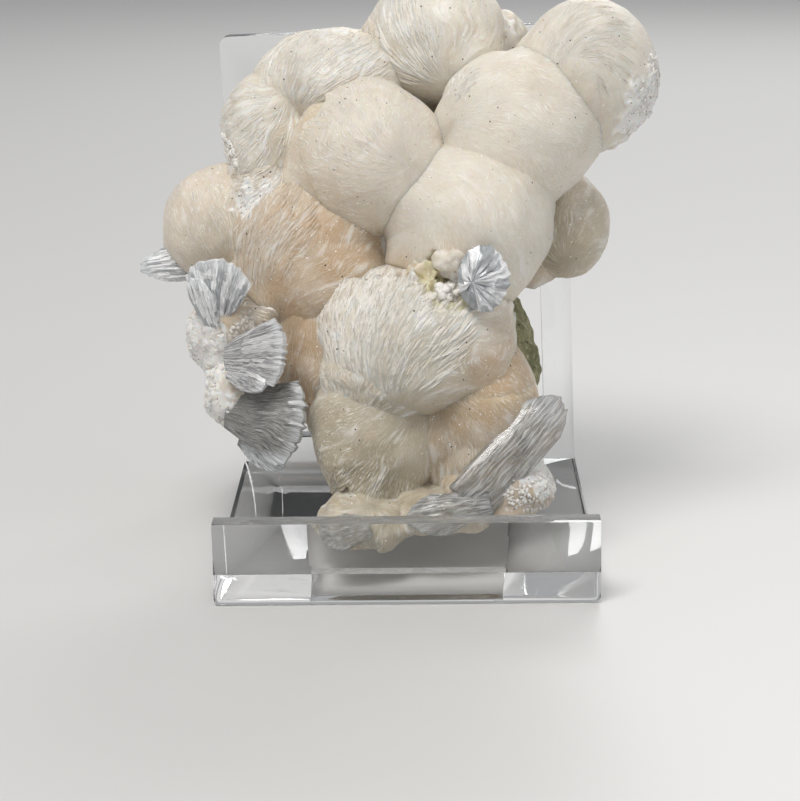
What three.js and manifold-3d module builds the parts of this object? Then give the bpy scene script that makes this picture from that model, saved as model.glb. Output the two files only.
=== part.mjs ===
// Apophyllite with gyrolite, standing in a clear acrylic display stand.
// Millimetres, +Z up, +X to the viewer's right, +Y away from the viewer.
// The origin is the centre of the stand's footprint, on the table.

import * as THREE from "three";
import { mergeVertices } from "three/addons/utils/BufferGeometryUtils.js";
import Module from "manifold-3d";

const wasm = await Module();
wasm.setup();

// Driving dimensions of the stand
const SHEET = 4;
const STAND_WIDTH = 60;
const STAND_DEPTH = 70;
const LIP_HEIGHT = 13;
const PLATE_HEIGHT = 81.6;
const PLATE_ASKEW = THREE.MathUtils.degToRad(1.6);
const PLATE_CORNER = 1.6;
const LOWER_EDGE_ROUND = 1;
const BASE_OPENING = { width: 30, depth: 24, behindFront: 6.5 };
const PLATE_WINDOW = { width: 48, right: 0.7, low: 9, high: 68 };
const FRONT = -STAND_DEPTH / 2;
const PLATE_FRONT = STAND_DEPTH / 2 - SHEET;

// Gap kept between two pieces that touch
const GAP = 0.3;

// Fibrous balls: how finely one is faceted, and how deep its radiating ridges and broad lumps are
const BALL_RINGS = 8;
const BALL_RIDGES = 8;
const SMALL_RINGS = 6;
const SMALL_RIDGES = 6;
const RIDGE_DEPTH = 0.3;
const LUMP_DEPTH = 0.45;

// The grown-together gyrolite balls: centre, half-sizes, and the way that the fibres' pole points
const BALLS = [
  { name: "top", at: [5.5, 14, 82], half: [11.5, 11.5, 11], pole: [-0.5, -0.5, 0.3] },
  { name: "top right", at: [30.2, 8, 76.4], half: [11.5, 11.5, 12.4], pole: [-0.6, -0.7, -0.1] },
  { name: "upper right", at: [18.9, 3, 68.8], half: [13, 12.5, 12.2], pole: [-0.7, -0.6, -0.2] },
  { name: "middle", at: [10.6, -3, 53.5], half: [13.6, 13, 12.7], pole: [-0.6, -0.6, -0.4] },
  { name: "centre", at: [-5.2, 0, 64.5], half: [11.1, 11.6, 11.7], pole: [0.2, -0.9, -0.2] },
  { name: "inner shell", at: [-8.4, 3, 61.6], half: [11.2, 11, 11.8], pole: [0.2, -0.9, -0.2], small: true },
  { name: "tufted", at: [-11.8, 11, 76.4], half: [12, 11, 8.2], pole: [0.5, -0.5, -0.4] },
  { name: "left", at: [-23.2, 8, 67.4], half: [7.4, 9, 9], pole: [0.6, -0.6, 0.3], small: true },
  { name: "lower left", at: [-31.6, 6, 52], half: [8.8, 9.5, 9.6], pole: [0.2, 0.1, -1] },
  { name: "broken mass", at: [-15.8, 1, 48.4], half: [12.6, 11.6, 12.6], pole: [-0.3, -0.8, -0.6] },
  { name: "broken mass foot", at: [-13.5, -1, 33], half: [8.6, 8.6, 13], pole: [0, 0, 1] },
  { name: "feathery", at: [2.3, -8.5, 37.8], half: [15.3, 11.8, 11.6], pole: [0.2, -0.4, 0.9] },
  { name: "bottom left", at: [-6, -9.5, 18.9], half: [9.8, 9.5, 11.2], pole: [0.1, -0.3, 0.9] },
  { name: "bottom right", at: [10.8, -6.5, 20.8], half: [9.8, 10, 11.8], pole: [-0.1, -0.3, 0.9] },
  { name: "right small", at: [27.4, 8.5, 51], half: [6.6, 7, 8.8], pole: [-0.9, -0.3, 0], small: true },
  { name: "right behind", at: [21, 11, 45.4], half: [5, 5, 5.4], pole: [0, -0.4, 0.9], small: true },
  { name: "top behind", at: [16.6, 20, 81.5], half: [4.2, 4.2, 4.2], pole: [0, -0.4, 0.9], small: true },
  { name: "left joint", at: [-22.5, 5, 58.5], half: [6, 7, 6], pole: [0, -0.4, 0.9], small: true },
  { name: "middle joint", at: [-3, 4, 50], half: [8, 8, 8], pole: [0, -0.4, 0.9], small: true },
  { name: "back upper", at: [-2, 20, 71], half: [15, 10.6, 11], pole: [0, 1, 0.2], small: true },
  { name: "back middle", at: [4, 17, 55], half: [19, 10, 13], pole: [0, 1, -0.2], small: true },
  { name: "foot left", at: [-7.2, -18.5, 8.3], half: [7.2, 7.4, 4.9], pole: [0, -0.5, -0.8], small: true },
  { name: "foot centre", at: [4.5, -13.5, 9.6], half: [8.4, 7.5, 5], pole: [0, -0.5, -0.8], small: true },
  { name: "foot right", at: [15, -12, 10.4], half: [8.2, 7.5, 5.6], pole: [0.3, -0.5, -0.8], small: true },
  { name: "column top", at: [-31, -2, 36], half: [4.8, 6, 6.8], pole: [-0.4, -0.8, 0.2], small: true },
  { name: "column neck", at: [-25.5, -1, 39], half: [6.6, 7, 8], pole: [-0.4, -0.8, 0.2], small: true },
  { name: "column foot", at: [-26.6, -6, 26.4], half: [6.6, 6, 6.2], pole: [-0.4, -0.8, 0.2], small: true },
];

// Patches of small crust knobs: where the patch sits, its half-sizes, and how many knobs of what size
const CRUSTS = [
  { name: "right edge", at: [38.6, 6, 72], half: [1.6, 5.5, 8], count: 6, size: 1.8 },
  { name: "right foot", at: [21.5, -12.5, 15.4], half: [3, 3.2, 4], count: 7, size: 1.6 },
  { name: "left column", at: [-30.5, -7, 33], half: [4, 1.6, 8], count: 7, size: 1.7 },
  { name: "druse pocket", at: [8.6, -15.4, 45.8], half: [4.6, 1.6, 3], count: 7, size: 1.5 },
  { name: "left shoulder", at: [-31.2, 4.5, 63.6], half: [1.4, 2, 2.6], count: 3, size: 1.5 },
];

// The rock that the balls grew on, seen at the right and from behind
const ROCK = {
  at: [5.2, 13.6, 33], half: [15.8, 12.6, 22], pole: [0.2, 0, 1], ridges: 9, ridgeDepth: 0.7, lumps: 1.3,
};

// Apophyllite sheaves: each spreads from its root to its tip, with its broad side along "facing".
// Sheaves that grew into each other share one entry.
const SHEAVES = {
  left_point: [{
    root: [-36, 4, 46.6], tip: [-44, 2.6, 46.2], facing: [0.1, -0.9, 0.5],
    rootWidth: 4, spread: 9, thick: 3.2, ribs: 4, tipRound: 0.35,
  }],
  upper_left_fan: [{
    root: [-28.4, -5, 38.8], tip: [-31, -9.4, 49.2], facing: [-0.3, -0.9, -0.3],
    rootWidth: 3.4, spread: 28, thick: 3, ribs: 6, tipRound: 0.25,
  }],
  middle_left_fan: [{
    root: [-27.6, -9.4, 32.4], tip: [-19.6, -15.4, 36.4], facing: [-0.1, -0.9, 0.35],
    rootWidth: 3.6, spread: 36, thick: 3, ribs: 7, tipRound: 0.25,
  }],
  lower_left_fan: [{
    root: [-29, -10.6, 25], tip: [-16.2, -16.2, 22.2], facing: [-0.2, -0.9, 0.3],
    rootWidth: 4, spread: 34, thick: 4.2, ribs: 8, tipRound: 0.3,
  }, {
    root: [-26, -10.4, 20.6], tip: [-19.6, -14.4, 16.4], facing: [-0.3, -0.9, 0],
    rootWidth: 6, spread: 18, thick: 3.4, ribs: 4, tipRound: 0.3,
  }],
  right_blade: [{
    root: [10.6, -18.6, 12.4], tip: [25.6, -10, 28], facing: [0.2, -0.8, 0.3],
    rootWidth: 6, spread: 3, thick: 3.8, ribs: 4, tipRound: 0.35,
  }],
  foot_left: [{
    root: [-5.6, -25.4, 9.4], tip: [-13, -24.4, 7.8], facing: [0, -0.9, 0.4],
    rootWidth: 5, spread: 10, thick: 2.8, ribs: 4, tipRound: 0.35,
  }],
  foot_centre: [{
    root: [13.6, -20.4, 12], tip: [0, -21.6, 8.4], facing: [0, -0.9, 0.4],
    rootWidth: 6, spread: 9, thick: 3.4, ribs: 6, tipRound: 0.3,
  }],
};

// The round sheaf of apophyllite that faces the viewer below the middle ball
const ROSETTE = {
  at: [12.4, -17, 48], half: [4.3, 2, 5], pole: [0.15, -1, 0.1], ridges: 8, rings: 5, lumps: 0,
};

const materials = {
  acrylic: new THREE.MeshStandardMaterial({
    color: 0xf1f5f6, roughness: 0.04, metalness: 0, transparent: true, opacity: 0.35,
  }),
  gyrolite: new THREE.MeshStandardMaterial({ color: 0xd8cfc0, roughness: 0.55, metalness: 0 }),
  rock: new THREE.MeshStandardMaterial({ color: 0x8a8f6a, roughness: 0.9, metalness: 0 }),
  apophyllite: new THREE.MeshStandardMaterial({
    color: 0xdde3e6, roughness: 0.12, metalness: 0, transparent: true, opacity: 0.6,
  }),
};

// A closed geometry as a solid that can be joined and cut
function solid(geometry) {
  const bare = geometry.clone();
  bare.deleteAttribute("normal");
  bare.deleteAttribute("uv");
  const merged = mergeVertices(bare, 1e-4);
  return new wasm.Manifold(new wasm.Mesh({
    numProp: 3,
    vertProperties: new Float32Array(merged.attributes.position.array),
    triVerts: new Uint32Array(merged.index.array),
  }));
}

function joined(solids) {
  return solids.reduce((sum, next) => sum.add(next));
}

// The largest connected body of a cut solid, so that no loose crumb is left beside it
function largestBody(cut) {
  return cut.decompose().reduce((best, next) => (next.volume() > best.volume() ? next : best));
}

function mesh(name, body, material) {
  const data = body.getMesh();
  const geometry = new THREE.BufferGeometry();
  geometry.setAttribute("position", new THREE.BufferAttribute(new Float32Array(data.vertProperties), 3));
  geometry.setIndex(new THREE.BufferAttribute(new Uint32Array(data.triVerts), 1));
  geometry.computeVertexNormals();
  const result = new THREE.Mesh(geometry, material);
  result.name = name;
  return result;
}

function box(low, high) {
  const size = high.map((value, i) => value - low[i]);
  const geometry = new THREE.BoxGeometry(...size);
  geometry.translate(...low.map((value, i) => value + size[i] / 2));
  return solid(geometry);
}

// A repeatable number from 0 to 1 for a pair of counters
function chance(i, j) {
  const value = Math.sin(i * 127.1 + j * 311.7) * 43758.5453;
  return value - Math.floor(value);
}

// A ball whose facets rise and fall in ridges that radiate from its pole
function ball(shape, grow = 0) {
  const { at, half, pole, small = false, ridgeDepth = RIDGE_DEPTH, lumps = LUMP_DEPTH } = shape;
  const { ridges = small ? SMALL_RIDGES : BALL_RIDGES, rings = small ? SMALL_RINGS : BALL_RINGS } = shape;
  const geometry = new THREE.SphereGeometry(1, 2 * ridges, rings);
  const turn = new THREE.Quaternion().setFromUnitVectors(
    new THREE.Vector3(0, 1, 0),
    new THREE.Vector3(...pole).normalize(),
  );
  const places = geometry.attributes.position;
  const point = new THREE.Vector3();
  for (let i = 0; i < places.count; i += 1) {
    point.fromBufferAttribute(places, i);
    const around = Math.atan2(point.z, point.x);
    const ridge = ridgeDepth * Math.cos(ridges * around) * (1 - point.y * point.y);
    point.applyQuaternion(turn);
    const broad = Math.sin(2.6 * point.x + at[0]) * Math.sin(2.9 * point.z + at[2]);
    const wave = broad + 0.5 * Math.sin(5 * point.y + at[1]);
    const out = ridge + lumps * wave + grow;
    places.setXYZ(
      i,
      at[0] + point.x * (half[0] + out),
      at[1] + point.y * (half[1] + out),
      at[2] + point.z * (half[2] + out),
    );
  }
  return solid(geometry);
}

// A patch of small knobs scattered through an egg-shaped region
function crust({ at, half, count, size }, grow = 0) {
  const knobs = [];
  for (let i = 0; i < count; i += 1) {
    const height = 1 - 2 * ((i + 0.5) / count);
    const around = i * 2.4;
    const reach = Math.sqrt(1 - height * height) * (0.6 + 0.4 * chance(i, 2));
    const knob = new THREE.IcosahedronGeometry(size * (0.85 + 0.5 * chance(i, count)) + grow);
    knob.rotateY(around);
    knob.translate(
      at[0] + half[0] * reach * Math.cos(around),
      at[1] + half[1] * reach * Math.sin(around),
      at[2] + half[2] * height,
    );
    knobs.push(solid(knob));
  }
  return joined(knobs);
}

// A sheaf of blades: ribs spread from the root, with a notched, rounded far end
function sheaf({ root, tip, facing, rootWidth, spread, thick, ribs, tipRound }, grow = 0) {
  const start = new THREE.Vector3(...root);
  const along = new THREE.Vector3(...tip).sub(start);
  const length = along.length() + grow;
  along.normalize();
  const across = new THREE.Vector3(...facing).cross(along).normalize();
  const up = new THREE.Vector3().crossVectors(along, across);
  const columns = 2 * ribs;
  const rows = 3;
  const angle = THREE.MathUtils.degToRad(spread);
  const vertices = [];
  for (const side of [1, -1]) {
    for (let row = 0; row <= rows; row += 1) {
      for (let column = 0; column <= columns; column += 1) {
        const share = (2 * column) / columns - 1;
        const notch = column % 2 === 0 ? 1 : 0.93;
        const reach = length * (row / rows) * notch * (1 - tipRound * share * share);
        const height = (thick / 2) * (1 - 0.6 * share * share) * (0.75 + 0.35 * (row / rows)) * notch;
        const place = start.clone()
          .addScaledVector(along, reach * Math.cos(angle * share) - grow)
          .addScaledVector(across, share * (rootWidth / 2 + grow) + reach * Math.sin(angle * share))
          .addScaledVector(up, side * (height * (column % 2 === 0 ? 1 : 0.8) + grow));
        vertices.push(...place.toArray());
      }
    }
  }
  const wide = columns + 1;
  const layer = wide * (rows + 1);
  const faces = [];
  const quad = (a, b, c, d) => faces.push(a, b, c, a, c, d);
  for (let row = 0; row < rows; row += 1) {
    for (let column = 0; column < columns; column += 1) {
      const a = row * wide + column;
      quad(a, a + wide, a + wide + 1, a + 1);
      quad(layer + a, layer + a + 1, layer + a + wide + 1, layer + a + wide);
    }
    const left = row * wide;
    const right = left + columns;
    quad(left, layer + left, layer + left + wide, left + wide);
    quad(right, right + wide, layer + right + wide, layer + right);
  }
  for (let column = 0; column < columns; column += 1) {
    const near = column;
    const far = rows * wide + column;
    quad(near, near + 1, layer + near + 1, layer + near);
    quad(far, layer + far, layer + far + 1, far + 1);
  }
  const geometry = new THREE.BufferGeometry();
  geometry.setAttribute("position", new THREE.Float32BufferAttribute(vertices, 3));
  geometry.setIndex(faces);
  return solid(geometry);
}

// The lower end of a front-on outline: from the left side round both lower corners to the right side
function roundedFoot(outline, side) {
  const centre = side - LOWER_EDGE_ROUND;
  outline.absarc(-centre, LOWER_EDGE_ROUND, LOWER_EDGE_ROUND, Math.PI, 1.5 * Math.PI, false);
  outline.absarc(centre, LOWER_EDGE_ROUND, LOWER_EDGE_ROUND, 1.5 * Math.PI, 2 * Math.PI, false);
}

// A flat bar across the stand's width whose two lower long edges are rounded, from the front backwards
function bar(height, depth) {
  const side = STAND_WIDTH / 2;
  const outline = new THREE.Shape();
  outline.moveTo(-side, height);
  outline.lineTo(-side, LOWER_EDGE_ROUND);
  roundedFoot(outline, side);
  outline.lineTo(side, height);
  outline.closePath();
  const settings = { depth, bevelEnabled: false, curveSegments: 5 };
  const geometry = new THREE.ExtrudeGeometry(outline, settings);
  geometry.rotateX(Math.PI / 2);
  geometry.translate(0, FRONT + depth, 0);
  return solid(geometry);
}

// The upright sheet, set a little askew, with rounded upper corners and a window
function backPlate() {
  const side = STAND_WIDTH / 2;
  const lean = new THREE.Matrix4().makeRotationZ(PLATE_ASKEW);
  const corner = (x, y) => new THREE.Vector3(x, y, 0).applyMatrix4(lean);
  const leftCentre = corner(-side + PLATE_CORNER, PLATE_HEIGHT - PLATE_CORNER);
  const rightCentre = corner(side - PLATE_CORNER, PLATE_HEIGHT - PLATE_CORNER);
  const outline = new THREE.Shape();
  outline.moveTo(-side, LOWER_EDGE_ROUND);
  roundedFoot(outline, side);
  const quarter = Math.PI / 2;
  outline.absarc(rightCentre.x, rightCentre.y, PLATE_CORNER, PLATE_ASKEW, quarter + PLATE_ASKEW, false);
  outline.absarc(leftCentre.x, leftCentre.y, PLATE_CORNER, quarter + PLATE_ASKEW, Math.PI + PLATE_ASKEW, false);
  outline.closePath();
  const windowSide = PLATE_WINDOW.width / 2;
  const { right, low, high } = PLATE_WINDOW;
  const windowCorners = [
    corner(right - windowSide, low),
    corner(right - windowSide, high),
    corner(right + windowSide, high),
    corner(right + windowSide, low),
  ];
  outline.holes.push(new THREE.Path(windowCorners.map((place) => new THREE.Vector2(place.x, place.y))));
  const settings = { depth: SHEET, bevelEnabled: false, curveSegments: 5 };
  const geometry = new THREE.ExtrudeGeometry(outline, settings);
  geometry.rotateX(Math.PI / 2);
  geometry.translate(0, PLATE_FRONT + SHEET, 0);
  return solid(geometry);
}

function displayStand() {
  const opening = box(
    [-BASE_OPENING.width / 2, FRONT + BASE_OPENING.behindFront, -1],
    [BASE_OPENING.width / 2, FRONT + BASE_OPENING.behindFront + BASE_OPENING.depth, SHEET + 1],
  );
  return joined([bar(SHEET, STAND_DEPTH), bar(LIP_HEIGHT, SHEET), backPlate()]).subtract(opening);
}

// Everything fibrous that grew together, kept clear of the stand below and behind it
function gyrolite(grow = 0) {
  const body = joined([...BALLS.map((item) => ball(item, grow)), ...CRUSTS.map((item) => crust(item, grow))]);
  const below = box([-60, -60, -10], [60, 60, SHEET + GAP - grow]);
  const behind = box([-60, PLATE_FRONT - GAP + grow, -10], [60, 60, 120]);
  return body.subtract(below).subtract(behind);
}

function rock(cluster) {
  return largestBody(ball(ROCK).subtract(cluster));
}

const model = new THREE.Group();
const cluster = gyrolite();
const clusterWithGap = gyrolite(GAP);

model.add(mesh("display_stand", displayStand(), materials.acrylic));
model.add(mesh("gyrolite_cluster", largestBody(cluster), materials.gyrolite));
model.add(mesh("matrix_rock", rock(clusterWithGap), materials.rock));

// Each sheaf is cut back from the gyrolite and from the sheaves placed before it
let taken = clusterWithGap;
for (const [name, grown] of Object.entries(SHEAVES)) {
  const crystal = joined(grown.map((shape) => sheaf(shape)));
  model.add(mesh(`apophyllite_${name}`, largestBody(crystal.subtract(taken)), materials.apophyllite));
  taken = taken.add(joined(grown.map((shape) => sheaf(shape, GAP))));
}
const rosette = largestBody(ball(ROSETTE).subtract(clusterWithGap));
model.add(mesh("apophyllite_rosette", rosette, materials.apophyllite));

export default model;
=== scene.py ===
# %% [markdown]
# # Apophyllite with gyrolite on its clear stand
# The specimen is a cluster of cream, fibrous gyrolite balls that grew into each other. Silvery apophyllite
# sheaves stand on it, and a clear acrylic stand holds it up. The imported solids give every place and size, so each
# piece below is modelled where its solid is and then stands in for it.

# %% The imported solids
import itertools
import math

import bpy
import numpy as np
from mathutils import Matrix, Vector


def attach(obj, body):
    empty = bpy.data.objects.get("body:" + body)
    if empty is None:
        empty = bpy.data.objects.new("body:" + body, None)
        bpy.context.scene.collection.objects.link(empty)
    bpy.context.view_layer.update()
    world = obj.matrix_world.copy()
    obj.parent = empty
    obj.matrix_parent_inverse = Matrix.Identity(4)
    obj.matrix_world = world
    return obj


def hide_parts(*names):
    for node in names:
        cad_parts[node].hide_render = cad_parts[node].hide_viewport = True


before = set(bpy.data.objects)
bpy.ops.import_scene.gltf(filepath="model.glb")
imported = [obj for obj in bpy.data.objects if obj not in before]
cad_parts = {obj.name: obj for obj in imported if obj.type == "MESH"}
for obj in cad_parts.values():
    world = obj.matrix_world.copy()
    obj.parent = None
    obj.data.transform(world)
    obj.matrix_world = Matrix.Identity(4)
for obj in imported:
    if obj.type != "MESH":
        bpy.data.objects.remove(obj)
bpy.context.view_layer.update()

MM = 0.001
print("solids:", sorted(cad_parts))

# %% [markdown]
# ## Camera
# The picture was taken from a little above with a long lens. The camera's place and its three angles were worked
# out from the stand's straight edges, so the same edges meet in the render.

# %% The camera at the photograph's angle
CAMERA_PLACE = Vector((0.004188, -0.378483, 0.123052))
YAW, TILT, ROLL = (math.radians(angle) for angle in (0.814, 14.758, 0.74))
LENS = 105.4

bpy.ops.object.select_all(action="DESELECT")
bpy.ops.object.camera_add(location=CAMERA_PLACE)
camera = bpy.context.object
level_right = Vector((math.cos(YAW), math.sin(YAW), 0))
level_ahead = Vector((-math.sin(YAW), math.cos(YAW), 0))
forward = level_ahead * math.cos(TILT) - Vector((0, 0, math.sin(TILT)))
above = Vector((0, 0, math.cos(TILT))) + level_ahead * math.sin(TILT)
right = level_right * math.cos(ROLL) - above * math.sin(ROLL)
up = level_right * math.sin(ROLL) + above * math.cos(ROLL)
turn = Matrix((right, up, -forward)).transposed()
camera.matrix_world = Matrix.Translation(CAMERA_PLACE) @ turn.to_4x4()
camera.data.lens = LENS
camera.data.sensor_width = 36
bpy.context.scene.camera = camera
print("camera", [round(x, 3) for x in camera.location], "lens", LENS)

# %% [markdown]
# ## Floor and light
# A plain pale floor and three soft panels are enough for a pale mineral. A large panel above the front left is the
# main light, a weaker one on the right opens the shadows, and one behind draws a rim on the clear parts.


# %% A plain material with its shader's sockets set
def bare_material(name):
    material = bpy.data.materials.new(name)
    material.use_nodes = True
    shader = next(n for n in material.node_tree.nodes if n.type == "BSDF_PRINCIPLED")
    return material, material.node_tree, shader


# %% Floor
bpy.ops.mesh.primitive_plane_add(size=9, location=(0, 1.5, -0.0002))
floor = bpy.context.object
floor.name = "floor"
floor_paint, _, floor_shader = bare_material("pale_floor")
floor_shader.inputs["Base Color"].default_value = (0.66, 0.655, 0.645, 1)
floor_shader.inputs["Roughness"].default_value = 0.45
floor.data.materials.append(floor_paint)


# %% Soft panels
def panel(name, place, aim, size, power, tint=(1, 1, 1)):
    bpy.ops.object.light_add(type="AREA", location=place)
    lamp = bpy.context.object
    lamp.name = name
    lamp.data.shape = "RECTANGLE"
    lamp.data.size, lamp.data.size_y = size
    lamp.data.energy = power
    lamp.data.color = tint
    lamp.rotation_euler = (Vector(aim) - Vector(place)).to_track_quat("-Z", "Y").to_euler()


panel("main_light", (-0.2, -0.38, 0.82), (0, 0, 0.06), (0.4, 0.4), 5.5, (1, 0.985, 0.955))
panel("fill_light", (0.8, -0.5, 0.35), (0, 0, 0.05), (0.5, 0.5), 1.1, (0.96, 0.98, 1))
panel("rim_light", (0.25, 0.75, 0.55), (0, 0, 0.06), (0.5, 0.3), 2.6)
room = bpy.data.worlds.new("room")
bpy.context.scene.world = room
room.use_nodes = True
room_light = room.node_tree.nodes["Background"]
room_light.inputs["Color"].default_value = (0.9, 0.91, 0.93, 1)
room_light.inputs["Strength"].default_value = 0.4
bpy.context.scene.view_settings.view_transform = "Standard"
print("studio ready")

# %% [markdown]
# ## Uneven surfaces that come out the same every time
# The relief looks random, but it must not change from one run to the next. So every lattice point in space gets a
# fixed number, and the values between them are blended.


# %% A smooth field of chance
def lattice(cells, seed):
    """A fixed number from 0 to 1 for each lattice cell."""
    x, y, z = (cells[..., i].astype(np.int64) for i in range(3))
    mixed = (x * 73856093) ^ (y * 19349663) ^ (z * 83492791) ^ (seed * 265443576)
    mixed &= 0xFFFFFFFF
    mixed = ((mixed ^ (mixed >> 15)) * 224682251) & 0xFFFFFFFF
    mixed = ((mixed ^ (mixed >> 13)) * 326648991) & 0xFFFFFFFF
    return ((mixed ^ (mixed >> 16)) & 0xFFFF) / 65535.0


def unevenness(points, seed):
    """Smooth values from -1 to 1, one for each point."""
    cells = np.floor(points)
    part = points - cells
    part = part * part * (3 - 2 * part)
    total = np.zeros(len(points))
    for corner in itertools.product((0, 1), repeat=3):
        share = np.prod(np.where(corner, part, 1 - part), axis=1)
        total += share * lattice(cells + corner, seed)
    return 2 * total - 1


def smooth_rise(value, low, high):
    """0 below low, 1 above high, and a smooth rise between them."""
    share = np.clip((value - low) / (high - low), 0, 1)
    return share * share * (3 - 2 * share)


print("field at the origin:", round(float(unevenness(np.array([[0.3, 0.2, 0.1]]), 1)[0]), 4))


# %% Small helpers for meshes
def points_of(mesh):
    values = np.empty(len(mesh.vertices) * 3)
    mesh.vertices.foreach_get("co", values)
    return values.reshape(-1, 3)


def move_points(mesh, points):
    mesh.vertices.foreach_set("co", points.astype(np.float32).ravel())
    mesh.update()


def keep_on_corners(mesh, name, values):
    """Keeps a value of every point on its face corners, where the materials read it."""
    corner_points = np.empty(len(mesh.loops), np.int32)
    mesh.loops.foreach_get("vertex_index", corner_points)
    layer = mesh.attributes.new(name, "FLOAT_VECTOR", "CORNER")
    layer.data.foreach_set("vector", values[corner_points].astype(np.float32).ravel())


def change(piece, kind, **settings):
    """Adds one modifier to a piece and applies it."""
    step = piece.modifiers.new("change", kind)
    for name, value in settings.items():
        setattr(step, name, value)
    bpy.context.view_layer.objects.active = piece
    bpy.ops.object.modifier_apply(modifier=step.name)


def edit_all():
    """Opens the active mesh for editing with everything selected."""
    bpy.ops.object.mode_set(mode="EDIT")
    bpy.ops.mesh.select_all(action="SELECT")


def turn_faces_outward():
    edit_all()
    bpy.ops.mesh.normals_make_consistent(inside=False)
    bpy.ops.object.mode_set(mode="OBJECT")


def finish_piece(piece, name, material, slot, *nodes):
    """Names and paints a piece, lets it ride on the stand's one body and stand in for its solids."""
    piece.name = name
    piece.data.name = name
    piece.data.materials.clear()
    piece.data.materials.append(material)
    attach(piece, "root")
    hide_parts(*nodes)
    print(f"{name}: {len(piece.data.loops) - 2 * len(piece.data.polygons)} triangles")


# %% [markdown]
# ## The gyrolite balls
# Each ball is a bundle of fibres that fan out from one point, so it looks combed from that point outwards. A round
# primitive has such lines: its meridians. Its pole is turned to where the fibres meet, and its points are pushed in
# and out in long strands along the meridians. Paint alone would leave the outline flat.

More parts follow.
